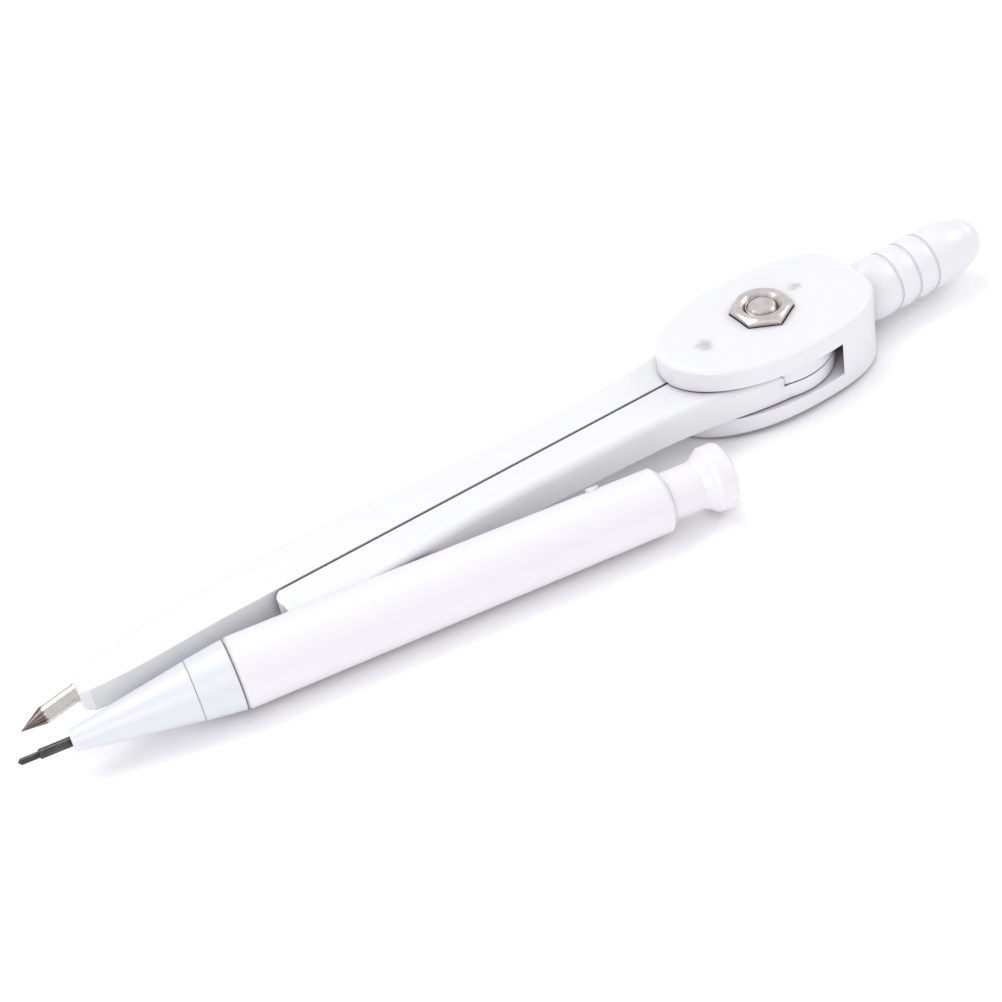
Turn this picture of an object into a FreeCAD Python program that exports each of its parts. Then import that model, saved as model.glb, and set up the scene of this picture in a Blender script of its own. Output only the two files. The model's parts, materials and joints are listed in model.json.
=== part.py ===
"""Plastic drawing compass with a yoke head, a needle leg and a built-in clutch pencil.

The compass lies closed on its back cheek. +X runs from the points to the handle, +Y is the needle
leg's side and +Z is up along the hinge screw. Every piece is built about the hinge axis, with z = 0
at half the head's depth, and the finished set is moved so that the origin is the middle of the
underside. Sizes are in millimetres.
"""
import FreeCAD, Part
import math
import os

Vector = FreeCAD.Vector

# ---- driving dimensions -------------------------------------------------------------------------

# head: two cheeks joined by a bridge at the handle end
cheek_half_width = 9.35
cheek_front_reach = 15.1        # from the hinge axis towards the points
cheek_rear_reach = 14.7         # and towards the handle
cheek_rear_power = 2.7          # 2 is an ellipse, more is squarer
outline_points = 36
handle_start_x = 13.8           # the handle's foot, sunk in the bridge's rounded end
leg_thickness = 4.2
washer_thickness = 0.2
cheek_thickness = 3.2           # at the crown
cheek_crown_radius = 56.0       # the cheeks are domed across their width
rest_flat_depth = 0.12          # dome cut flat so the compass rests steadily
cheek_edge_round = 0.7
bridge_gap = 0.6                # between the leg knuckles and the bridge
bridge_hollow_radius = 12.0     # the bridge's inner wall is hollowed

# hinge: M4 countersunk screw and hexagon nut
screw_diameter = 4.0
screw_head_diameter = 7.6
screw_head_recess = 0.2
screw_slot_width = 1.0
screw_slot_depth = 1.0
screw_end_stand = -0.15         # the screw's end lies just below the nut's face
nut_across_flats = 7.0
nut_height = 3.2
nut_stand = 0.95                # how far the nut stands out of the cheek
nut_turn = 29.0                 # degrees from +X to the first corner
nut_chamfer_rise = 0.45
nut_side_gap = 0.1
nut_mouth_sink = 0.6            # countersunk mouth of the nut's thread
screw_tip_chamfer = 0.45
hinge_clearance = 0.05          # radial, leg bore on screw
cheek_bore_clearance = 0.1
washer_radius = 6.0
washer_gap = 0.02

# handle: ringed grip of round section pushed on the yoke's spigot
handle_end_x = 34.9
handle_base_radius = 3.3
ring_radius = 4.15
groove_radius = 3.72
groove_width = 0.4
ring_count = 3
ring_pitch = 3.05
ring_edge_drop = 0.22           # the rings are slightly bulged
first_groove_x = 19.4
tip_shoulder_radius = 3.4
spigot_radius = 2.2
spigot_length = 9.0

# legs
knuckle_radius = 8.8
leg_gap = 0.42                  # between the closed legs
lap_clearance = 0.25            # radial, round the other leg's knuckle
leg_head_width = 5.2
leg_top_round = 1.1
knuckle_swell = [(18.0, 5.7), (11.0, 6.9), (5.0, 8.15), (2.0, 8.45)]   # side of a leg next to its knuckle
needle_leg_length = 95.2        # hinge axis to the leg's end
needle_leg_bulge = 7.3          # widest place, two thirds of the way down
needle_leg_tip_width = 4.3
needle_leg_tip_depth = 3.2      # the underside rises towards the end
taper_start_x = -58.0
pencil_arm_length = 70.8
pencil_arm_width = 4.6

# needle: ground steel pin pressed into the needle leg
needle_diameter = 2.2
needle_shank = 4.3              # straight length outside the leg
needle_cone = 3.1
needle_depth = 8.0              # pressed length
needle_lean = 11.8              # degrees towards the pencil
needle_y = 2.6
needle_z = 0.5

# pencil body, measured along its own axis from the barrel's front face
barrel_front_x = -79.5
barrel_front_y = -5.9
barrel_z = -0.68
barrel_angle = 9.2              # degrees from the main axis
barrel_length = 53.6
barrel_front_radius = 4.3
barrel_rear_radius = 4.0
barrel_bore_radius = 3.1
barrel_edge_round = 0.5
button_clearance = 0.07         # radial, in the barrel's rear guide
guide_length = 3.0
pip_radius = 0.8                # moulding pip on the barrel
pip_height = 0.35
pip_root = 0.5                  # how far the pip reaches into the wall
pip_place = 46.0

collar_length = 4.7
collar_rear_radius = 4.2
collar_front_radius = 3.62
collar_joint_groove = 0.12
nose_length = 14.3
nose_front_radius = 1.3
nose_neck_radius = 2.7
nose_spigot_length = 5.0

lead_diameter = 0.5
lead_length = 45.0
lead_stand = 0.2
lead_clearance = 0.05
sleeve_body_diameter = 1.2
sleeve_tip_diameter = 0.8
sleeve_body_stand = 3.8
sleeve_tip_stand = 2.1
sleeve_seat = 3.5               # pressed length inside the nose

button_travel = 4.0
button_stem_radius = barrel_bore_radius - 2 * button_clearance
button_stem_stand = 5.6
button_head_radius = 4.05
button_head_length = 3.5
button_flare = 1.35             # stays outside the barrel when the button is pressed
button_insert = 9.0             # stem length inside the barrel

retainer_length = 2.0
retainer_radius = 1.2
chuck_cavity_radius = 1.95
chuck_front = -7.0              # jaw faces at rest
chuck_head_radius = 1.65
chuck_stem_radius = 1.1
chuck_slit_width = 0.22
clutch_ring_length = 1.9
clutch_ring_wall = 0.6
clutch_gap = 0.05
spring_cavity_radius = 2.3
spring_wire_diameter = 0.4
spring_outer_radius = 2.15
spring_turns = 6
spring_wire_flats = 8
spring_front = 1.0
spring_rear = 10.0
connector_flange = 1.2
connector_flange_radius = 2.6
connector_length = 5.0
reservoir_outer_radius = 2.2
reservoir_inner_radius = 1.7
spare_lead_count = 3
spare_lead_length = 36.0
spare_lead_orbit = 1.1

# ---- values worked out from them ------------------------------------------------------------------

leg_half = leg_thickness / 2
slot_half = leg_half + washer_thickness
crown_z = slot_half + cheek_thickness
rest_z = -crown_z + rest_flat_depth
nut_top_z = crown_z + nut_stand
nut_floor_z = nut_top_z - nut_height
slot_end_x = knuckle_radius + bridge_gap
lap_half = washer_thickness / 2
big = 60.0


def cylinder(radius, z0, z1):
    """Round bar on the hinge axis."""
    return Part.makeCylinder(radius, z1 - z0, Vector(0, 0, z0), Vector(0, 0, 1))


def box(x0, y0, z0, x1, y1, z1):
    return Part.makeBox(x1 - x0, y1 - y0, z1 - z0, Vector(x0, y0, z0))


def turned(profile):
    """Solid of revolution about X from a closed profile of (x, radius) points."""
    points = [Vector(x, r, 0) for x, r in profile]
    face = Part.Face(Part.makePolygon(points + [points[0]]))
    return face.revolve(Vector(0, 0, 0), Vector(1, 0, 0), 360)


def tube(x0, x1, outer, inner):
    return turned([(x0, inner), (x1, inner), (x1, outer), (x0, outer)])


def on_pencil_axis(shape):
    """Place a solid turned about X on the barrel's axis."""
    turn = FreeCAD.Rotation(Vector(0, 0, 1), -barrel_angle)
    place = FreeCAD.Placement(Vector(barrel_front_x, barrel_front_y, barrel_z), turn)
    placed = shape.copy()
    placed.Placement = place.multiply(shape.Placement)
    return placed


def plate(edges, z0, z1):
    face = Part.Face(Part.Wire(edges))
    solid = face.extrude(Vector(0, 0, z1 - z0))
    solid.translate(Vector(0, 0, z0))
    return solid


def spline(points):
    curve = Part.BSplineCurve()
    curve.interpolate([Vector(x, y, 0) for x, y in points])
    return curve.toShape()


def arc(start, through, end):
    return Part.Arc(start, through, end).toBSpline().toShape()


def line(a, b):
    return Part.makeLine(Vector(a[0], a[1], 0), Vector(b[0], b[1], 0))


def hexagon(across_flats, z0, z1):
    radius = across_flats / math.sqrt(3)
    corners = [math.radians(nut_turn + 60 * k) for k in range(7)]
    points = [Vector(radius * math.cos(a), radius * math.sin(a), z0) for a in corners]
    return Part.Face(Part.makePolygon(points)).extrude(Vector(0, 0, z1 - z0))


# ---- head -------------------------------------------------------------------------------------------

def cheek_outline():
    """Egg-shaped outline: half an ellipse in front, a fuller curve at the handle."""
    points = []
    for step in range(outline_points):
        turn = 2 * math.pi * step / outline_points
        front = math.cos(turn) < 0
        reach = cheek_front_reach if front else cheek_rear_reach
        power = 1.0 if front else 2.0 / cheek_rear_power
        x = reach * math.copysign(abs(math.cos(turn)) ** power, math.cos(turn))
        y = cheek_half_width * math.copysign(abs(math.sin(turn)) ** power, math.sin(turn))
        points.append(Vector(x, y, 0))
    curve = Part.BSplineCurve()
    curve.interpolate(Points=points, PeriodicFlag=True)
    return plate([curve.toShape()], -crown_z, crown_z)


def dome(centre_z):
    """Long cylinder whose wall domes a cheek, with its seam turned to the side."""
    solid = Part.makeCylinder(cheek_crown_radius, 4 * big, Vector(0, 0, 0), Vector(1, 0, 0))
    solid.rotate(Vector(0, 0, 0), Vector(1, 0, 0), 90)
    solid.translate(Vector(-2 * big, 0, centre_z))
    return solid


def neck_envelope():
    """Round body that takes the corners off the bridge's end, down to the handle's section."""
    start = handle_start_x - 4.0
    wide = cheek_half_width + 3.0
    neck = handle_base_radius + 0.6
    curve = Part.BezierCurve()
    curve.setPoles([Vector(start, wide, 0), Vector(handle_start_x - 0.8, wide, 0),
                    Vector(handle_start_x, neck + 2.6, 0), Vector(handle_start_x, neck, 0)])
    edges = [curve.toShape(), Part.makeLine(Vector(handle_start_x, neck, 0), Vector(handle_start_x, 0, 0)),
             Part.makeLine(Vector(handle_start_x, 0, 0), Vector(-big, 0, 0)),
             Part.makeLine(Vector(-big, 0, 0), Vector(-big, wide, 0)),
             Part.makeLine(Vector(-big, wide, 0), Vector(start, wide, 0))]
    return Part.Face(Part.Wire(edges)).revolve(Vector(0, 0, 0), Vector(1, 0, 0), 360)


def leg_slot():
    """Room between the cheeks, ending in the bridge's hollowed wall."""
    centre = slot_end_x - bridge_hollow_radius
    hollow = Part.makeCylinder(bridge_hollow_radius, 2 * slot_half, Vector(centre, 0, -slot_half))
    return hollow.fuse(box(-big, -big, -slot_half, 0, big, slot_half))


def head_yoke():
    """Two domed cheeks joined by a bridge, with the nut's pocket, the screw's seat and the spigot."""
    drop = crown_z - cheek_crown_radius
    solid = cheek_outline().common(dome(drop)).common(dome(-drop))
    rims = []
    for edge in solid.Edges:
        middle = edge.valueAt((edge.FirstParameter + edge.LastParameter) / 2)
        if abs(middle.z) > slot_half and abs(middle.y) > 0.5 * cheek_half_width:
            rims.append(edge)
    solid = solid.makeFillet(cheek_edge_round, rims)
    solid = solid.common(box(-big, -big, rest_z, big, big, big))
    solid = solid.common(neck_envelope())
    solid = solid.cut(leg_slot())
    bore = screw_diameter / 2 + cheek_bore_clearance
    solid = solid.cut(cylinder(bore, -big, big))
    solid = solid.cut(hexagon(nut_across_flats + 2 * nut_side_gap, nut_floor_z, big))
    solid = solid.cut(screw_head(big))
    foot = Vector(handle_start_x - 1, 0, 0)
    spigot = Part.makeCylinder(spigot_radius, spigot_length + 1, foot, Vector(1, 0, 0))
    return solid.fuse(spigot).removeSplitter()


def screw_head(reach):
    """Countersunk head, or the seat that takes it, open downwards by reach."""
    face_z = rest_z + screw_head_recess
    radius = screw_head_diameter / 2
    shank = screw_diameter / 2
    cone = Part.makeCone(radius, shank, radius - shank, Vector(0, 0, face_z), Vector(0, 0, 1))
    if reach > 0:
        cone = cone.fuse(cylinder(radius, face_z - reach, face_z))
    return cone


def hinge_screw():
    face_z = rest_z + screw_head_recess
    shank = cylinder(screw_diameter / 2, face_z + 0.5, nut_top_z + screw_end_stand)
    rim = [e for e in shank.Edges if e.BoundBox.ZMin > nut_floor_z]
    shank = shank.makeChamfer(screw_tip_chamfer, rim)
    solid = shank.fuse(screw_head(0.0)).removeSplitter()
    half = screw_slot_width / 2
    return solid.cut(box(-big, -half, face_z - 1, big, half, face_z + screw_slot_depth))


def hex_nut():
    solid = hexagon(nut_across_flats, nut_floor_z, nut_top_z)
    corner = nut_across_flats / math.sqrt(3)
    flat = nut_across_flats / 2 - 0.15
    slope = (corner - flat) / nut_chamfer_rise
    height = nut_top_z - nut_floor_z
    wide = flat + slope * height
    upper = Part.makeCone(wide, flat, height, Vector(0, 0, nut_floor_z), Vector(0, 0, 1))
    lower = Part.makeCone(flat, wide, height, Vector(0, 0, nut_floor_z), Vector(0, 0, 1))
    solid = solid.common(upper).common(lower)
    thread = screw_diameter / 2
    solid = solid.cut(cylinder(thread, -big, big))
    sink = nut_mouth_sink
    mouth = Part.makeCone(thread, thread + sink, sink, Vector(0, 0, nut_top_z - sink), Vector(0, 0, 1))
    return solid.cut(mouth)


def washer(middle_z):
    half = washer_thickness / 2 - washer_gap
    ring = cylinder(washer_radius, middle_z - half, middle_z + half)
    return ring.cut(cylinder(screw_diameter / 2 + hinge_clearance, -big, big))


def handle_grip():
    """Ringed grip with a rounded end, bored for the yoke's spigot."""
    start = handle_start_x
    foot = Vector(start, handle_base_radius - 0.25, 0)
    half = groove_width / 2
    land_radius = ring_radius - ring_edge_drop
    here = foot
    edges = []
    for k in range(ring_count):
        groove = first_groove_x + k * ring_pitch
        bulge = Vector(0.45 * here.x + 0.55 * groove, ring_radius, 0)
        land = Vector(groove - half, land_radius, 0)
        edges.append(arc(here, bulge, land))
        far = Vector(groove + half, land_radius, 0)
        edges.append(arc(land, Vector(groove, groove_radius, 0), far))
        here = far
    length = handle_end_x - here.x
    shoulder = Vector(handle_end_x - 0.35 * length, tip_shoulder_radius, 0)
    middle = Vector((here.x + shoulder.x) / 2, ring_radius - 0.02, 0)
    edges.append(arc(here, middle, shoulder))
    end = Vector(handle_end_x, 0, 0)
    nose = Vector(handle_end_x - 0.085 * length, 0.62 * tip_shoulder_radius, 0)
    edges.append(arc(shoulder, nose, end))
    edges.append(Part.makeLine(end, Vector(start, 0, 0)))
    edges.append(Part.makeLine(Vector(start, 0, 0), foot))
    solid = Part.Face(Part.Wire(edges)).revolve(Vector(0, 0, 0), Vector(1, 0, 0), 360)
    socket = Part.makeCylinder(spigot_radius, spigot_length + 0.3, Vector(start, 0, 0), Vector(1, 0, 0))
    return solid.cut(socket)


# ---- legs -------------------------------------------------------------------------------------------

def round_upper_edges(solid, top_z, radius, keep):
    """Round the long top edges of a leg's outer side, as chosen by keep(middle point)."""
    chosen = []
    for edge in solid.Edges:
        middle = edge.valueAt((edge.FirstParameter + edge.LastParameter) / 2)
        if abs(middle.z - top_z) < 0.01 and edge.BoundBox.ZLength < 0.01 and keep(middle):
            chosen.append(edge)
    return solid.makeFillet(radius, chosen)


def add_knuckle(leg, upper):
    """Half-lap eye round the hinge screw, with room for the other leg's eye."""
    z0, z1 = (lap_half, leg_half) if upper else (-leg_half, -lap_half)
    other0, other1 = (-leg_half, lap_half) if upper else (-lap_half, leg_half)
    leg = leg.cut(cylinder(knuckle_radius + lap_clearance, other0 - 1 if upper else other0,
                           other1 if upper else other1 + 1))
    leg = leg.fuse(cylinder(knuckle_radius, z0, z1)).removeSplitter()
    return leg.cut(cylinder(screw_diameter / 2 + hinge_clearance, -big, big))


def needle_leg():
    """Tapered leg with a gently bulged outer side; the end is bored for the needle."""
    inner = leg_gap / 2
    end_x = -needle_leg_length
    bulge_x = 0.69 * end_x
    wide = needle_leg_bulge
    neck = leg_head_width
    tip = needle_leg_tip_width
    foot = [(end_x + 20.5, inner), (end_x + 14, 0.02), (end_x + 8, -0.22), (end_x + 1.2, 0.1)]
    corner = (end_x, tip - 0.8)
    side = [(end_x + 1.6, tip + 0.55), (end_x + 6, tip + 1.5), (end_x + 14, wide - 0.75),
            (bulge_x, wide), (0.52 * end_x, 0.55 * wide + 0.45 * neck), (-26.0, neck + 0.1)]
    side += [(-swell_x, swell_y) for swell_x, swell_y in knuckle_swell]
    root = (side[-1][0], inner)
    edges = [line(root, foot[0]), spline(foot), line(foot[-1], (end_x + 0.15, 1.0)),
             line((end_x + 0.15, 1.0), corner), line(corner, side[0]), spline(side), line(side[-1], root)]
    leg = plate(edges, -leg_half, leg_half)
    rise = leg_thickness - needle_leg_tip_depth
    wedge = Part.makePolygon([
        Vector(taper_start_x, -big, -leg_half), Vector(end_x - 1, -big, -leg_half + rise),
        Vector(end_x - 1, -big, -big), Vector(taper_start_x, -big, -big),
        Vector(taper_start_x, -big, -leg_half)])
    leg = leg.cut(Part.Face(wedge).extrude(Vector(0, 2 * big, 0)))
    leg = round_upper_edges(leg, leg_half, leg_top_round, lambda p: p.y > 2.0 and p.x < -4)
    leg = add_knuckle(leg, True)
    return leg.cut(needle_bar(0.0))


def needle_axis():
    lean = math.radians(needle_lean)
    return Vector(-math.cos(lean), -math.sin(lean), 0)


def needle_bar(stand):
    """Straight shank of the needle from its seat to a stand beyond the leg's end."""
    along = needle_axis()
    mouth = Vector(-needle_leg_length + 0.1, needle_y, needle_z)
    seat = mouth - along * needle_depth
    reach = stand if stand > 0 else needle_shank
    return Part.makeCylinder(needle_diameter / 2, needle_depth + reach, seat, along)


def needle_point():
    along = needle_axis()
    mouth = Vector(-needle_leg_length + 0.1, needle_y, needle_z)
    tip = Part.makeCone(needle_diameter / 2, 0.04, needle_cone, mouth + along * needle_shank, along)
    return needle_bar(needle_shank).fuse(tip).removeSplitter()


def barrel_outside():
    """Outer points of the barrel's profile, from its rear face to its front one."""
    r = barrel_edge_round
    return [(barrel_length, barrel_rear_radius - r), (barrel_length - r, barrel_rear_radius),
            (r, barrel_front_radius), (0, barrel_front_radius - r)]


def pencil_arm():
    """Leg whose end is hollowed to hug the side of the barrel, where it is welded on."""
    inner = -leg_gap / 2
    end_x = -pencil_arm_length
    width = pencil_arm_width
    neck = leg_head_width
    heel = (end_x, -2.6)
    toe = (end_x + 0.8, inner)
    rounding = Part.Arc(Vector(toe[0], toe[1], 0), Vector(end_x + 0.05, -0.9, 0), Vector(heel[0], heel[1], 0))
    side = [(end_x + 11, -width - 1.4), (end_x + 18, -width - 0.5), (end_x + 26, -width),
            (end_x + 34, -width - 0.15), (-26.0, -neck)]
    side += [(-swell_x, -swell_y) for swell_x, swell_y in knuckle_swell]
    root = (side[-1][0], inner)
    edges = [line(root, toe), rounding.toShape(), line(heel, (end_x, -width - 1.6)),
             line((end_x, -width - 1.6), side[0]), spline(side), line(side[-1], root)]
    arm = plate(edges, -leg_half, leg_half)
    arm = round_upper_edges(arm, leg_half, leg_top_round, lambda p: p.y < -3.0 and end_x + 12 < p.x < -4)
    arm = arm.cut(on_pencil_axis(turned([(0, 0), (barrel_length, 0)] + barrel_outside())))
    solids = sorted(arm.Solids, key=lambda s: s.Volume)
    return add_knuckle(solids[-1], False)


# ---- clutch pencil ----------------------------------------------------------------------------------

def pencil_barrel():
    guide = barrel_bore_radius - button_clearance
    guide_x = barrel_length - guide_length
    shell = turned([(0, barrel_bore_radius), (guide_x, barrel_bore_radius), (guide_x, guide),
                    (barrel_length, guide)] + barrel_outside())
    top = barrel_front_radius + (barrel_rear_radius - barrel_front_radius) * pip_place / barrel_length
    outward = Vector(0, 0.6, 0.8)
    pip = Part.makeCylinder(pip_radius, pip_root + pip_height, Vector(pip_place, 0, 0), outward)
    pip.translate(outward * (top - pip_root))
    return on_pencil_axis(shell.fuse(pip))


def grip_collar():
    """Conical ring clamped between the nose and the barrel."""
    g = collar_joint_groove
    return on_pencil_axis(turned([(-collar_length, nose_neck_radius), (0, nose_neck_radius),
                                  (0, collar_rear_radius - g), (-g, collar_rear_radius),
                                  (-collar_length + g, collar_front_radius),
                                  (-collar_length, collar_front_radius - g)]))


def nose_cone():
    """Screwed nose: cone, neck under the collar and spigot in the barrel."""
    back = -collar_length
    front = back - nose_length
    seat = front + sleeve_seat
    cavity = chuck_front - button_travel - 0.5
    lead_hole = lead_diameter / 2 + 0.1
    return on_pencil_axis(turned([
        (front, sleeve_body_diameter / 2), (seat, sleeve_body_diameter / 2), (seat, retainer_radius),
        (seat + retainer_length, retainer_radius), (seat + retainer_length, lead_hole),
        (cavity, lead_hole), (cavity, chuck_cavity_radius), (spring_front, chuck_cavity_radius),
        (spring_front, spring_cavity_radius), (nose_spigot_length, spring_cavity_radius),
        (nose_spigot_length, barrel_bore_radius), (0, barrel_bore_radius), (0, nose_neck_radius),
        (back, nose_neck_radius),
        (back, collar_front_radius - 0.18), (back - 0.1, collar_front_radius - 0.08),
        (front + 0.2, nose_front_radius + 0.03), (front, nose_front_radius - 0.15)]))


def lead_sleeve():
    front = -collar_length - nose_length
    bore = lead_diameter / 2 + lead_clearance
    step = front - sleeve_body_stand
    tip = step - sleeve_tip_stand
    body = sleeve_body_diameter / 2
    thin = sleeve_tip_diameter / 2
    return on_pencil_axis(turned([(tip, bore), (front + sleeve_seat, bore), (front + sleeve_seat, body),
                                  (step + 0.15, body), (step, thin), (tip + 0.08, thin), (tip, thin - 0.05)]))


def lead_retainer():
    seat = -collar_length - nose_length + sleeve_seat
    return on_pencil_axis(tube(seat, seat + retainer_length, retainer_radius, lead_diameter / 2 + 0.02))


def chuck_jaws():
    """Brass collet, slit in three at its front, with a stem pressed into the connector."""
    bore = lead_diameter / 2 + lead_clearance
    head = chuck_head_radius
    back = chuck_front + 4.0
    rear = spring_rear + 3.0
    solid = turned([(chuck_front, bore), (rear, bore), (rear, chuck_stem_radius), (back, chuck_stem_radius),
                    (chuck_front + 1.5, head), (chuck_front, head - 0.35)])
    slit = box(chuck_front - 1, -chuck_slit_width / 2, 0, chuck_front + 7, chuck_slit_width / 2, big)
    for k in range(3):
        cut = slit.copy()
        cut.rotate(Vector(0, 0, 0), Vector(1, 0, 0), 120 * k)
        solid = solid.cut(cut)
    return on_pencil_axis(solid)


def clutch_ring():
    """Brass ring that closes the jaws; its mouth is coned to their taper."""
    slope = (chuck_head_radius - chuck_stem_radius) / 2.5
    inner = chuck_stem_radius + clutch_gap + 0.15
    start = chuck_front + 4.0 - (inner - clutch_gap - chuck_stem_radius) / slope
    outer = min(inner + clutch_ring_wall, chuck_cavity_radius)
    return on_pencil_axis(turned([(start, inner), (start + clutch_ring_length, inner),
                                  (start + clutch_ring_length, outer), (start, outer)]))


def chuck_spring():
    """Open coil spring between the nose's shoulder and the connector; the wire is drawn with flats."""
    wire = spring_wire_diameter / 2
    mean = spring_outer_radius - wire
    length = spring_rear - spring_front - 2 * wire
    helix = Part.makeHelix(length / spring_turns, length, mean).Edges[0]
    centre = helix.valueAt(helix.FirstParameter)
    along = helix.tangentAt(helix.FirstParameter)
    across = along.cross(Vector(1, 0, 0)).normalize()
    third = along.cross(across).normalize()
    section = []
    for k in range(spring_wire_flats + 1):
        turn = 2 * math.pi * k / spring_wire_flats
        section.append(centre + across * (wire * math.cos(turn)) + third * (wire * math.sin(turn)))
    coil = Part.Wire([helix]).makePipeShell([Part.makePolygon(section)], True, True)
    coil.rotate(Vector(0, 0, 0), Vector(0, 1, 0), 90)
    coil.translate(Vector(spring_front + wire, 0, 0))
    return on_pencil_axis(coil)


def chuck_connector():
    """Plastic joint between the collet's stem and the lead reservoir."""
    start = spring_rear
    shoulder = start + connector_flange
    end = start + connector_length
    hole = lead_diameter / 2 + 0.15
    return on_pencil_axis(turned([
        (start, chuck_stem_radius), (start + 3.0, chuck_stem_radius), (start + 3.0, hole), (end, hole),
        (end, reservoir_inner_radius), (shoulder, reservoir_inner_radius),
        (shoulder, connector_flange_radius), (start, connector_flange_radius)]))


def lead_reservoir():
    start = spring_rear + connector_flange
    end = barrel_length + button_stem_stand - 2.0
    return on_pencil_axis(tube(start, end, reservoir_outer_radius, reservoir_inner_radius))


def push_button():
    """Push button: hollow stem in the barrel's guide, waisted under a domed head."""
    end = barrel_length + button_stem_stand
    front = barrel_length - button_insert
    floor = end - 2.0
    head = button_head_radius
    stem = button_stem_radius
    crown = end + button_head_length
    return on_pencil_axis(turned([
        (front, reservoir_outer_radius), (floor, reservoir_outer_radius), (floor, 0), (crown, 0),
        (crown - 0.12, 0.45 * head), (crown - 0.42, 0.75 * head), (crown - 0.95, 0.95 * head),
        (crown - 1.35, head), (end + 0.45, head), (end + 0.1, head - 0.2), (end - 0.3, head - 0.55),
        (end - 0.7, stem + 0.3), (end - 1.1, stem + 0.08), (end - button_flare, stem),
        (front + 0.3, stem), (front, stem - 0.3)]))


def writing_lead():
    tip = -collar_length - nose_length - sleeve_body_stand - sleeve_tip_stand - lead_stand
    radius = lead_diameter / 2
    return on_pencil_axis(turned([(tip, 0), (tip + lead_length, 0), (tip + lead_length, radius),
                                  (tip + 0.15, radius), (tip, radius - 0.12)]))


def spare_leads():
    start = spring_rear + connector_length + 0.4
    bars = []
    for k in range(spare_lead_count):
        turn = math.radians(90 + 360 * k / spare_lead_count)
        foot = Vector(start, spare_lead_orbit * math.cos(turn), spare_lead_orbit * math.sin(turn))
        bars.append(Part.makeCylinder(lead_diameter / 2, spare_lead_length, foot, Vector(1, 0, 0)))
    return on_pencil_axis(Part.makeCompound(bars))


# ---- the set of pieces ------------------------------------------------------------------------------

pieces = {
    "head_yoke": head_yoke(),
    "handle_grip": handle_grip(),
    "hinge_screw": hinge_screw(),
    "hex_nut": hex_nut(),
    "front_washer": washer(leg_half + washer_thickness / 2),
    "middle_washer": washer(0.0),
    "rear_washer": washer(-leg_half - washer_thickness / 2),
    "needle_leg": needle_leg(),
    "needle_point": needle_point(),
    "pencil_arm": pencil_arm(),
    "pencil_barrel": pencil_barrel(),
    "grip_collar": grip_collar(),
    "nose_cone": nose_cone(),
    "lead_sleeve": lead_sleeve(),
    "lead_retainer": lead_retainer(),
    "chuck_jaws": chuck_jaws(),
    "clutch_ring": clutch_ring(),
    "chuck_spring": chuck_spring(),
    "chuck_connector": chuck_connector(),
    "lead_reservoir": lead_reservoir(),
    "push_button": push_button(),
    "writing_lead": writing_lead(),
    "spare_leads": spare_leads(),
}

whole = Part.makeCompound(list(pieces.values())).optimalBoundingBox(False, False)
shift = Vector(-whole.Center.x, -whole.Center.y, -rest_z)
os.makedirs("parts", exist_ok=True)
for name, shape in pieces.items():
    placed = shape.copy()
    placed.translate(shift)
    placed.exportStep("parts/" + name + ".step")
print("hinge axis at x %.3f, y %.3f" % (shift.x, shift.y))
print("overall %.2f x %.2f x %.2f" % (whole.XLength, whole.YLength, whole.ZLength))
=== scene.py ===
import json
import math

import bmesh
import bpy
from mathutils import Matrix, Vector


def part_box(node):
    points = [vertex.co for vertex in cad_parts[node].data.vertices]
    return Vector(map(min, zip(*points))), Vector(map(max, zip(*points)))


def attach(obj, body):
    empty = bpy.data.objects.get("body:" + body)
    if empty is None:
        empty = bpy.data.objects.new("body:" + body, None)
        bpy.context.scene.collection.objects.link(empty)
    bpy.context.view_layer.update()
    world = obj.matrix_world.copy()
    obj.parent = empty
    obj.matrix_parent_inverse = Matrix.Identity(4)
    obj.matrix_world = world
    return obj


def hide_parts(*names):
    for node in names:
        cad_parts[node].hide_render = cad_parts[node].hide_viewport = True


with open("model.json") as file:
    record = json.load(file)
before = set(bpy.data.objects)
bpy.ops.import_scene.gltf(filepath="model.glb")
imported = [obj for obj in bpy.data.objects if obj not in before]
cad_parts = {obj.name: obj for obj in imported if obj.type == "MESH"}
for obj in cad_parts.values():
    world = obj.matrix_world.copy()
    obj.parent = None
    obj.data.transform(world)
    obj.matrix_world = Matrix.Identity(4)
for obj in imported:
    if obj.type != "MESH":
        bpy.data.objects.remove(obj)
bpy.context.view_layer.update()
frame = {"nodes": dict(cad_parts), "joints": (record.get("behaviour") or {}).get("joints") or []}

nodes = frame["nodes"]
joints = {joint["name"]: joint for joint in frame["joints"]}
hinge = Vector(joints["needle_leg_hinge"]["pos_m"])
pencil_direction = -Vector(joints["button_press"]["axis"]).normalized()


# ---- moulded white plastic: yoke, legs, barrel, button ----
# The shells are injection moulded in white styrene. The gloss is soft and slightly uneven, the skin
# has a faint orange peel with flow marks along the part, and handled parts carry fine hairlines.
def new_material(name):
    """An empty node material with its shader, the maker of further nodes and the linker."""
    material = bpy.data.materials.new(name)
    material.use_nodes = True
    tree = material.node_tree
    tree.nodes.clear()
    shader = tree.nodes.new("ShaderNodeBsdfPrincipled")
    output = tree.nodes.new("ShaderNodeOutputMaterial")
    tree.links.new(shader.outputs["BSDF"], output.inputs["Surface"])

    def add(kind, **settings):
        node = tree.nodes.new("ShaderNode" + kind)
        for key, value in settings.items():
            if key in node.inputs:
                node.inputs[key].default_value = value
            else:
                setattr(node, key, value)
        return node

    return material, shader, add, tree.links.new


def object_pattern(add, link, stretch=(1.0, 1.0, 1.0), turn=0.0):
    """Object coordinates, turned about Z and stretched for a pattern that runs along a piece."""
    coordinates = add("TexCoord")
    mapping = add("Mapping", Scale=stretch, Rotation=(0.0, 0.0, turn))
    link(coordinates.outputs["Object"], mapping.inputs["Vector"])
    return mapping.outputs["Vector"]


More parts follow.
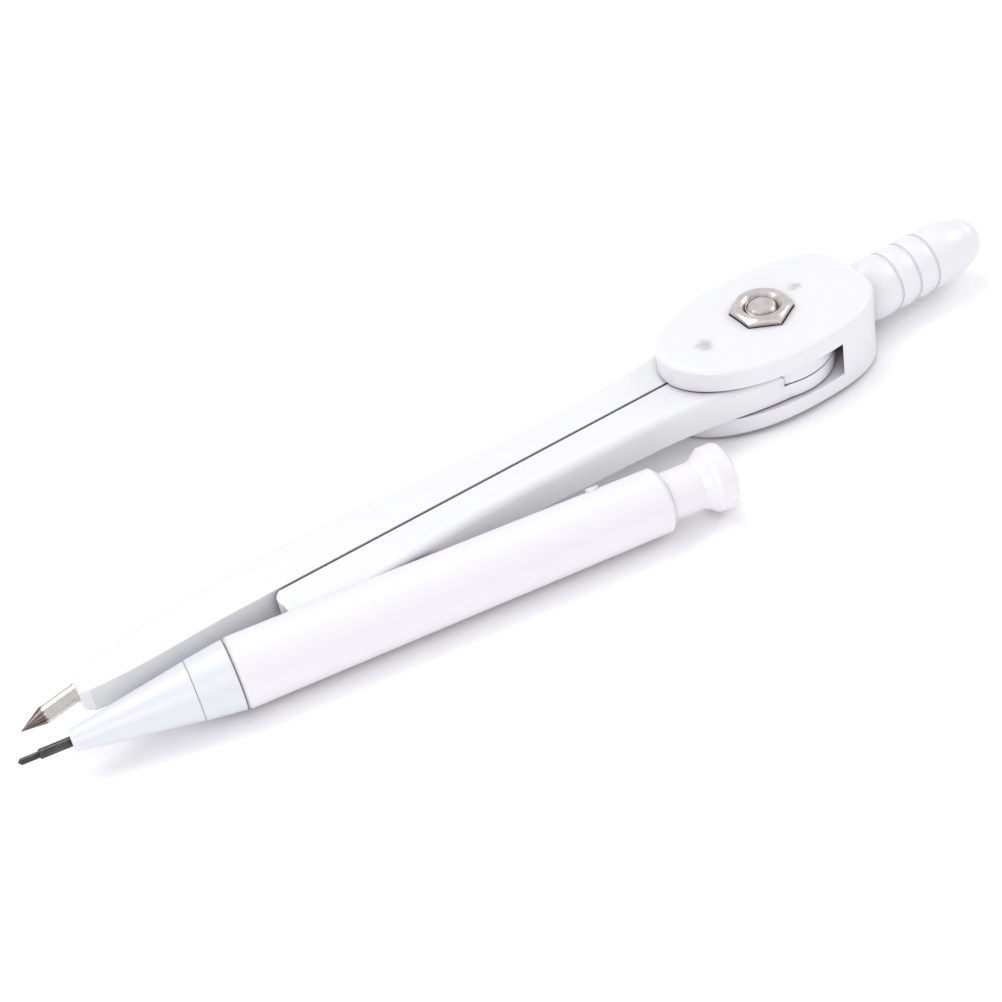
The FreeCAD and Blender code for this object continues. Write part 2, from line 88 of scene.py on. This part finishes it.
def noise(add, link, space, scale, detail, roughness=0.5):
    """Cloudy 0 to 1 pattern; scale is in waves per metre of the space given."""
    node = add("TexNoise", Scale=scale, Detail=detail, Roughness=roughness)
    link(space, node.inputs["Vector"])
    return node.outputs["Fac"]


def window(add, link, value, start, end, low=0.0, high=1.0):
    """Maps the part of a pattern from start to end onto low to high, and holds it beyond."""
    node = add("MapRange")
    for key, number in (("From Min", start), ("From Max", end), ("To Min", low), ("To Max", high)):
        node.inputs[key].default_value = number
    link(value, node.inputs["Value"])
    return node.outputs["Result"]


def spread(add, link, value, low, high):
    """Maps a 0 to 1 pattern to a range."""
    return window(add, link, value, 0.0, 1.0, low, high)


def two_colours(add, link, factor, first, second):
    """Runs from the first colour to the second over the middle of a pattern."""
    ramp = add("ValToRGB")
    ends = ramp.color_ramp.elements
    for end, colour, position in ((ends[0], first, 0.3), (ends[1], second, 0.7)):
        end.color = (*colour, 1.0)
        end.position = position
    link(factor, ramp.inputs["Fac"])
    return ramp.outputs["Color"]


def blend(add, link, factor, first, second):
    """Mixes two colours, each given as a plain colour or as the output of a node."""
    first_socket, second_socket, result_socket = 6, 7, 2
    node = add("Mix", data_type="RGBA")
    link(factor, node.inputs["Factor"])
    for socket, colour in ((first_socket, first), (second_socket, second)):
        if isinstance(colour, tuple):
            node.inputs[socket].default_value = (*colour, 1.0)
        else:
            link(colour, node.inputs[socket])
    return node.outputs[result_socket]


def times_plus(add, link, value, factor, offset):
    node = add("Math", operation="MULTIPLY_ADD")
    link(value, node.inputs[0])
    node.inputs[1].default_value = factor
    link(offset, node.inputs[2])
    return node.outputs["Value"]


def openness(add, reach):
    """1 in the open, and towards 0 in a crease narrower than the reach."""
    return add("AmbientOcclusion", samples=6, Distance=reach).outputs["AO"]


def emboss(add, link, shader, height, strength, distance):
    """Gives the surface the relief of a pattern."""
    bump = add("Bump", Strength=strength, Distance=distance)
    link(height, bump.inputs["Height"])
    link(bump.outputs["Normal"], shader.inputs["Normal"])


def white_plastic(name, shade, painted_shade, turn=0.0, smudges=()):
    """White styrene; turn lines the flow marks up with the part, smudges are (place, radius)."""
    painted_gap_shade = (0.012, 0.012, 0.014)
    scuff_grey = (0.34, 0.34, 0.37)
    hairline_turn = 0.35
    material, shader, add, link = new_material(name)
    even = object_pattern(add, link)
    flow = noise(add, link, object_pattern(add, link, (60.0, 420.0, 420.0), turn), 3.0, 5.0, 0.6)
    peel = noise(add, link, even, 1900.0, 3.0, 0.55)
    cloud = noise(add, link, even, 140.0, 3.0)
    hair_space = object_pattern(add, link, (900.0, 9000.0, 5000.0), turn + hairline_turn)
    hairlines = window(add, link, noise(add, link, hair_space, 1.0, 2.0), 0.66, 0.74)

    # Painted shade: an ambient occlusion mask darkens the colour to a shade tint in creases and to near
    # black in narrow gaps.
    open_air = openness(add, 0.0016)
    tone = two_colours(add, link, cloud, shade, tuple(0.985 * c for c in shade))
    crease_shaded = blend(add, link, window(add, link, open_air, 0.25, 0.85), painted_shade, tone)
    colour = blend(add, link, window(add, link, open_air, 0.10, 0.50), painted_gap_shade, crease_shaded)
    for place, radius in smudges:
        spot = add("Mapping", vector_type="POINT", Scale=(1.0 / radius,) * 3,
                   Location=tuple(-c / radius for c in place))
        link(even, spot.inputs["Vector"])
        distance = add("VectorMath", operation="LENGTH")
        link(spot.outputs["Vector"], distance.inputs[0])
        ragged = add("Math", operation="ADD")
        link(distance.outputs["Value"], ragged.inputs[0])
        wobble = noise(add, link, even, 1.4 / radius, 4.0, 0.7)
        link(spread(add, link, wobble, -1.1, 1.1), ragged.inputs[1])
        fade = window(add, link, ragged.outputs["Value"], 0.1, 1.1, 0.75, 0.0)
        colour = blend(add, link, fade, colour, scuff_grey)
    link(colour, shader.inputs["Base Color"])

    skin = spread(add, link, cloud, 0.24, 0.36)
    link(times_plus(add, link, hairlines, 0.16, skin), shader.inputs["Roughness"])
    scored = add("Math", operation="SUBTRACT")
    link(times_plus(add, link, flow, 1.6, peel), scored.inputs[0])
    link(spread(add, link, hairlines, 0.0, 0.35), scored.inputs[1])
    emboss(add, link, shader, scored.outputs["Value"], 0.10, 0.00006)
    shader.inputs["IOR"].default_value = 1.55
    shader.inputs["Subsurface Weight"].default_value = 0.18
    shader.inputs["Subsurface Radius"].default_value = (1.0, 0.85, 0.9)
    shader.inputs["Subsurface Scale"].default_value = 0.0009
    return material


def paint(material, *names):
    for name in names:
        slots = nodes[name].data.materials
        slots.clear()
        slots.append(material)


pencil_turn = math.atan2(-pencil_direction.y, pencil_direction.x)
shell_white = (0.715, 0.72, 0.735)
barrel_white = (0.735, 0.725, 0.745)
# Painted shade: the lavender tint that creases and joints of the white parts are darkened to.
painted_crease_shade = (0.52, 0.46, 0.53)
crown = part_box("head_yoke")[1].z
smudge_marks = []
for along, across, radius in ((-0.0095, -0.0009, 0.0013), (0.0061, 0.0010, 0.0010)):
    smudge_marks.append((Vector((hinge.x + along, hinge.y + across, crown)), radius))
paint(white_plastic("yoke_plastic", shell_white, painted_crease_shade, smudges=smudge_marks), "head_yoke")
paint(white_plastic("leg_plastic", shell_white, painted_crease_shade), "needle_leg", "pencil_arm")
paint(white_plastic("grip_plastic", shell_white, painted_crease_shade), "handle_grip")
barrel_plastic = white_plastic("barrel_plastic", barrel_white, painted_crease_shade, pencil_turn)
paint(barrel_plastic, "pencil_barrel", "push_button")


# ---- nose cone and collar ----
# The nose and its collar come from another mould and are a touch bluer and greyer than the barrel.
# The painted shade between them and in their groove is bluer too.
cool_white = (0.65, 0.67, 0.70)
# Painted shade: the bluer colour that the creases and groove of the nose parts are darkened to.
painted_cool_shade = (0.36, 0.36, 0.42)
paint(white_plastic("nose_plastic", cool_white, painted_cool_shade, pencil_turn), "nose_cone", "grip_collar")


# ---- bright metal: hinge screw, nut ----
# Machine screw and nut in bright nickel on steel. Turning leaves rings round the hinge axis, and painted
# shade darkens the recesses, such as the thread in the nut's mouth.
def round_pattern(add, link, centre, rings):
    """Rings round the Z axis through a centre, for turned faces."""
    coordinates = add("TexCoord")
    mapping = add("Mapping", Location=(-centre.x * rings, -centre.y * rings, 0.0),
                  Scale=(rings, rings, 0.0))
    link(coordinates.outputs["Object"], mapping.inputs["Vector"])
    wave = add("TexWave", wave_type="RINGS", rings_direction="Z", Scale=1.0, Distortion=1.5, Detail=2.0)
    link(mapping.outputs["Vector"], wave.inputs["Vector"])
    return wave.outputs["Fac"]


def metal(name, dark, light, rough, pattern_of, bump_strength=0.12):
    """Used metal; pattern_of draws the tool's marks and rough is the span of the roughness."""
    painted_recess_shade = (0.03, 0.026, 0.025)
    material, shader, add, link = new_material(name)
    marks = pattern_of(add, link)
    stain = noise(add, link, object_pattern(add, link), 700.0, 4.0, 0.6)
    # Painted shade: an ambient occlusion mask darkens the metal's recesses towards near black.
    unshaded = window(add, link, openness(add, 0.0009), 0.45, 0.92)
    bare = two_colours(add, link, stain, dark, light)
    link(blend(add, link, unshaded, painted_recess_shade, bare), shader.inputs["Base Color"])
    stained = spread(add, link, stain, *rough)
    link(times_plus(add, link, marks, 0.08, stained), shader.inputs["Roughness"])
    emboss(add, link, shader, marks, bump_strength, 0.00003)
    shader.inputs["Metallic"].default_value = 1.0
    return material


def hinge_rings(add, link):
    return round_pattern(add, link, hinge, 6500.0)


nickel = metal("bright_nickel", (0.74, 0.66, 0.63), (0.86, 0.80, 0.77), (0.10, 0.22), hinge_rings)
paint(nickel, "hex_nut", "hinge_screw")


# ---- thread of the hinge screw ----
# A rolled M4 thread. Its crests wind up the shank and show where the screw's end stands in the nut's
# countersunk mouth.
def ribbon(name, build, values):
    """Builds a geometry tree, runs it with its values and keeps the result as a plain mesh object."""
    carrier = bpy.data.objects.new(name + "_carrier", bpy.data.meshes.new(name + "_carrier"))
    bpy.context.scene.collection.objects.link(carrier)
    tree = bpy.data.node_groups.new(name + "_tree", "GeometryNodeTree")
    build(tree)
    modifier = carrier.modifiers.new("shape", "NODES")
    modifier.node_group = tree
    sockets = {i.name: i.identifier for i in tree.interface.items_tree if i.in_out == "INPUT"}
    for key, value in values.items():
        modifier[sockets[key]] = value
    bpy.context.view_layer.update()
    graph = bpy.context.evaluated_depsgraph_get()
    mesh = bpy.data.meshes.new_from_object(carrier.evaluated_get(graph))
    carrier.modifiers.clear()
    bpy.data.objects.remove(carrier)
    piece = bpy.data.objects.new(name, mesh)
    bpy.context.scene.collection.objects.link(piece)
    return piece


def helix_tree(material, sides):
    """Tree maker: a wire of a number of sides wound on a helix along Z, with capped ends."""
    def build(tree):
        face = tree.interface
        for label in ("Turns", "Radius", "Height", "Wire radius"):
            face.new_socket(label, in_out="INPUT", socket_type="NodeSocketFloat")
        face.new_socket("Steps", in_out="INPUT", socket_type="NodeSocketInt")
        face.new_socket("Geometry", in_out="OUTPUT", socket_type="NodeSocketGeometry")
        start = tree.nodes.new("NodeGroupInput")
        end = tree.nodes.new("NodeGroupOutput")
        spiral = tree.nodes.new("GeometryNodeCurveSpiral")
        wire = tree.nodes.new("GeometryNodeCurvePrimitiveCircle")
        wire.inputs["Resolution"].default_value = sides
        sweep = tree.nodes.new("GeometryNodeCurveToMesh")
        sweep.inputs["Fill Caps"].default_value = True
        smooth = tree.nodes.new("GeometryNodeSetShadeSmooth")
        real = tree.nodes.new("GeometryNodeRealizeInstances")
        finish = tree.nodes.new("GeometryNodeSetMaterial")
        finish.inputs["Material"].default_value = material
        link = tree.links.new
        link(start.outputs["Turns"], spiral.inputs["Rotations"])
        link(start.outputs["Radius"], spiral.inputs["Start Radius"])
        link(start.outputs["Radius"], spiral.inputs["End Radius"])
        link(start.outputs["Height"], spiral.inputs["Height"])
        link(start.outputs["Steps"], spiral.inputs["Resolution"])
        link(start.outputs["Wire radius"], wire.inputs["Radius"])
        link(spiral.outputs["Curve"], sweep.inputs["Curve"])
        link(wire.outputs["Curve"], sweep.inputs["Profile Curve"])
        link(sweep.outputs["Mesh"], smooth.inputs["Geometry"])
        link(smooth.outputs["Geometry"], real.inputs["Geometry"])
        link(real.outputs["Geometry"], finish.inputs["Geometry"])
        link(finish.outputs["Geometry"], end.inputs[0])
    return build


def point_outward(mesh):
    """Merges doubles and turns every face outward."""
    shape = bmesh.new()
    shape.from_mesh(mesh)
    bmesh.ops.remove_doubles(shape, verts=shape.verts, dist=1e-7)
    bmesh.ops.recalc_face_normals(shape, faces=shape.faces)
    shape.to_mesh(mesh)
    shape.free()


thread_pitch = 0.0007
thread_run_out = 0.0002
thread_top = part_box("hinge_screw")[1].z - thread_run_out
thread_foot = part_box("hex_nut")[0].z + thread_run_out
thread_height = thread_top - thread_foot
screw_thread = ribbon("screw_thread", helix_tree(nickel, sides=6), {
    "Turns": thread_height / thread_pitch, "Radius": 0.00196, "Height": thread_height,
    "Wire radius": 0.00016, "Steps": 40})
screw_thread.data.transform(Matrix.Translation((hinge.x, hinge.y, thread_foot)))
point_outward(screw_thread.data)
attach(screw_thread, "head")


# ---- clutch spring ----
# Open coil spring of drawn steel wire between the nose's shoulder and the connector. It is held by
# its own push.
def lengthwise_brush(axis_turn):
    """Maker of fine streaks along a drawn or ground piece."""
    def pattern(add, link):
        space = object_pattern(add, link, (500.0, 15000.0, 15000.0), axis_turn)
        return noise(add, link, space, 1.0, 3.0, 0.6)
    return pattern


def along_pencil(name):
    """A node's lowest and highest place along the pencil's axis, from the frame's origin."""
    places = [v.co.dot(pencil_direction) for v in nodes[name].data.vertices]
    return min(places), max(places)


pencil_brush = lengthwise_brush(pencil_turn)
spring_steel = metal("spring_steel", (0.46, 0.46, 0.48), (0.62, 0.62, 0.64), (0.22, 0.34), pencil_brush)
wire_radius = 0.0002
spring_span = along_pencil("chuck_spring")
tube_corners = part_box("lead_reservoir")
axis_point = (tube_corners[0] + tube_corners[1]) / 2
spring_length = spring_span[1] - spring_span[0] - 2 * wire_radius
coil = ribbon("clutch_spring", helix_tree(spring_steel, sides=12), {
    "Turns": 6.0, "Radius": 0.00195, "Height": spring_length, "Wire radius": wire_radius, "Steps": 48})
foot = axis_point + pencil_direction * (spring_span[0] + wire_radius - axis_point.dot(pencil_direction))
lean = pencil_direction.to_track_quat("Z", "Y").to_matrix().to_4x4()
coil.data.transform(Matrix.Translation(foot) @ lean)
point_outward(coil.data)
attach(coil, "pencil_leg")
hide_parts("chuck_spring")


# ---- needle ----
# Hardened steel pin, ground to a point across its length and pressed into the leg. The shank is drawn
# bright; the cone keeps its grinding marks and is darker.
def ground_needle(low, high, cone_share):
    """Steel for the box of a pin whose cone takes up a share of its length at the low end."""
    pin_width = 0.002
    edge_fade = 0.0002
    material, shader, add, link = new_material("ground_steel")
    turn = -math.atan2(high.y - low.y - pin_width, high.x - low.x)
    streak = lengthwise_brush(turn)(add, link)
    place = add("SeparateXYZ")
    link(object_pattern(add, link), place.inputs["Vector"])
    edge = low.x + cone_share * (high.x - low.x)
    past_edge = window(add, link, place.outputs["X"], edge - edge_fade, edge + edge_fade)
    shank = two_colours(add, link, streak, (0.66, 0.62, 0.57), (0.84, 0.80, 0.74))
    cone = two_colours(add, link, streak, (0.07, 0.045, 0.04), (0.30, 0.25, 0.23))
    link(blend(add, link, past_edge, cone, shank), shader.inputs["Base Color"])
    link(spread(add, link, streak, 0.12, 0.30), shader.inputs["Roughness"])
    emboss(add, link, shader, streak, 0.3, 0.00003)
    shader.inputs["Metallic"].default_value = 1.0
    return material


needle_low, needle_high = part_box("needle_point")
paint(ground_needle(needle_low, needle_high, cone_share=0.2), "needle_point")


# ---- lead sleeve ----
# Drawn steel tube in two steps, darkened by handling, pressed into the nose.
tube_dark = (0.045, 0.042, 0.042)
tube_light = (0.13, 0.12, 0.12)
paint(metal("dark_sleeve", tube_dark, tube_light, (0.22, 0.38), pencil_brush, 0.25), "lead_sleeve")


# ---- clutch: jaws and ring ----
# Turned brass with a light oil film; the ring and the jaws' cone are polished by sliding on each other.
brass = metal("turned_brass", (0.62, 0.45, 0.20), (0.80, 0.62, 0.32), (0.18, 0.32), pencil_brush, 0.2)
paint(brass, "chuck_jaws", "clutch_ring")


# ---- washers, seal, tube and connector ----
# Hidden small parts: fibre washers that set the hinge's drag, a soft retainer that grips the lead, and
# the unpigmented reservoir with its connector.
def soft_part(name, first, second, rough, grain, bump_strength, clear=0.0):
    """Flecked matt material; grain is the flecks' scale and clear lets light into it."""
    material, shader, add, link = new_material(name)
    fleck = noise(add, link, object_pattern(add, link), grain, 5.0, 0.65)
    link(two_colours(add, link, fleck, first, second), shader.inputs["Base Color"])
    link(spread(add, link, fleck, *rough), shader.inputs["Roughness"])
    emboss(add, link, shader, fleck, bump_strength, 0.00005)
    shader.inputs["Subsurface Weight"].default_value = clear
    shader.inputs["Subsurface Scale"].default_value = 0.001
    return material


paint(soft_part("washer_fibre", (0.36, 0.27, 0.20), (0.50, 0.40, 0.30), (0.6, 0.8), 2600.0, 0.5),
      "front_washer", "middle_washer", "rear_washer")
paint(soft_part("soft_rubber", (0.02, 0.02, 0.02), (0.05, 0.05, 0.05), (0.6, 0.75), 1800.0, 0.3),
      "lead_retainer")
paint(soft_part("natural_plastic", (0.74, 0.73, 0.68), (0.82, 0.81, 0.77), (0.3, 0.45), 900.0, 0.1, 0.3),
      "chuck_connector", "lead_reservoir")


# ---- leads ----
# Polymer leads: black with a greasy sheen, one in the jaws and the spares loose in the reservoir.
paint(soft_part("pencil_lead", (0.035, 0.035, 0.04), (0.08, 0.08, 0.085), (0.35, 0.5), 5000.0, 0.3),
      "writing_lead", "spare_leads")


# ---- floor ----
# Plain white card under the compass, swept far past the view.
half_side = 2.0
floor_corners = [(-half_side, -half_side, 0.0), (half_side, -half_side, 0.0),
                 (half_side, half_side, 0.0), (-half_side, half_side, 0.0)]
floor_mesh = bpy.data.meshes.new("floor")
floor_mesh.from_pydata(floor_corners, [], [(0, 1, 2, 3)])
floor = bpy.data.objects.new("floor", floor_mesh)
bpy.context.scene.collection.objects.link(floor)
card, card_shader, add, link = new_material("white_card")
fibre = noise(add, link, object_pattern(add, link), 900.0, 4.0)
card_white = two_colours(add, link, fibre, (0.95, 0.95, 0.955), (0.97, 0.97, 0.975))
link(card_white, card_shader.inputs["Base Color"])
card_shader.inputs["Roughness"].default_value = 0.9
floor_mesh.materials.append(card)


# ---- light ----
# A white room and three soft boxes: a large one overhead and behind, a fill from the right, and a
# weak one low on the left that lifts the barrel's underside.
world = bpy.data.worlds.new("white_room")
world.use_nodes = True
background = world.node_tree.nodes["Background"]
background.inputs["Color"].default_value = (0.97, 0.97, 1.0, 1.0)
background.inputs["Strength"].default_value = 0.78
bpy.context.scene.world = world


def soft_box(name, place, size, power, colour=(1.0, 1.0, 1.0)):
    """Rectangular lamp, in watts, aimed at the frame's origin."""
    light = bpy.data.lights.new(name, "AREA")
    light.shape = "RECTANGLE"
    light.size = size[0]
    light.size_y = size[1]
    light.energy = power
    light.color = colour
    lamp = bpy.data.objects.new(name, light)
    lamp.location = place
    lamp.rotation_euler = (-Vector(place)).to_track_quat("-Z", "Y").to_euler()
    bpy.context.scene.collection.objects.link(lamp)


soft_box("overhead", (-0.15, 0.35, 0.75), (0.7, 0.5), 3.4)
soft_box("right_fill", (0.65, -0.1, 0.45), (0.4, 0.4), 1.2, (1.0, 0.99, 1.0))
soft_box("left_low", (-0.5, -0.45, 0.35), (0.4, 0.4), 1.9, (1.0, 0.98, 1.0))


# ---- camera ----
# Looks down along the compass from the pencil's side, with the handle at the upper right.
lens_data = bpy.data.cameras.new("camera")
lens_data.sensor_width = 36.0
lens_data.lens = 71.86
lens_data.clip_start = 0.005
camera = bpy.data.objects.new("camera", lens_data)
right = Vector((0.83260, -0.53165, -0.15529)).normalized()
forward = Vector((0.32588, 0.69694, -0.63881)).normalized()
up = right.cross(forward).normalized()
right = forward.cross(up).normalized()
stand = hinge + Vector((-0.118685, -0.167571, 0.151497))
turned = Matrix((right, up, -forward)).transposed().to_4x4()
camera.matrix_world = Matrix.Translation(stand) @ turned
bpy.context.scene.collection.objects.link(camera)
bpy.context.scene.camera = camera
bpy.context.scene.view_settings.view_transform = "Standard"
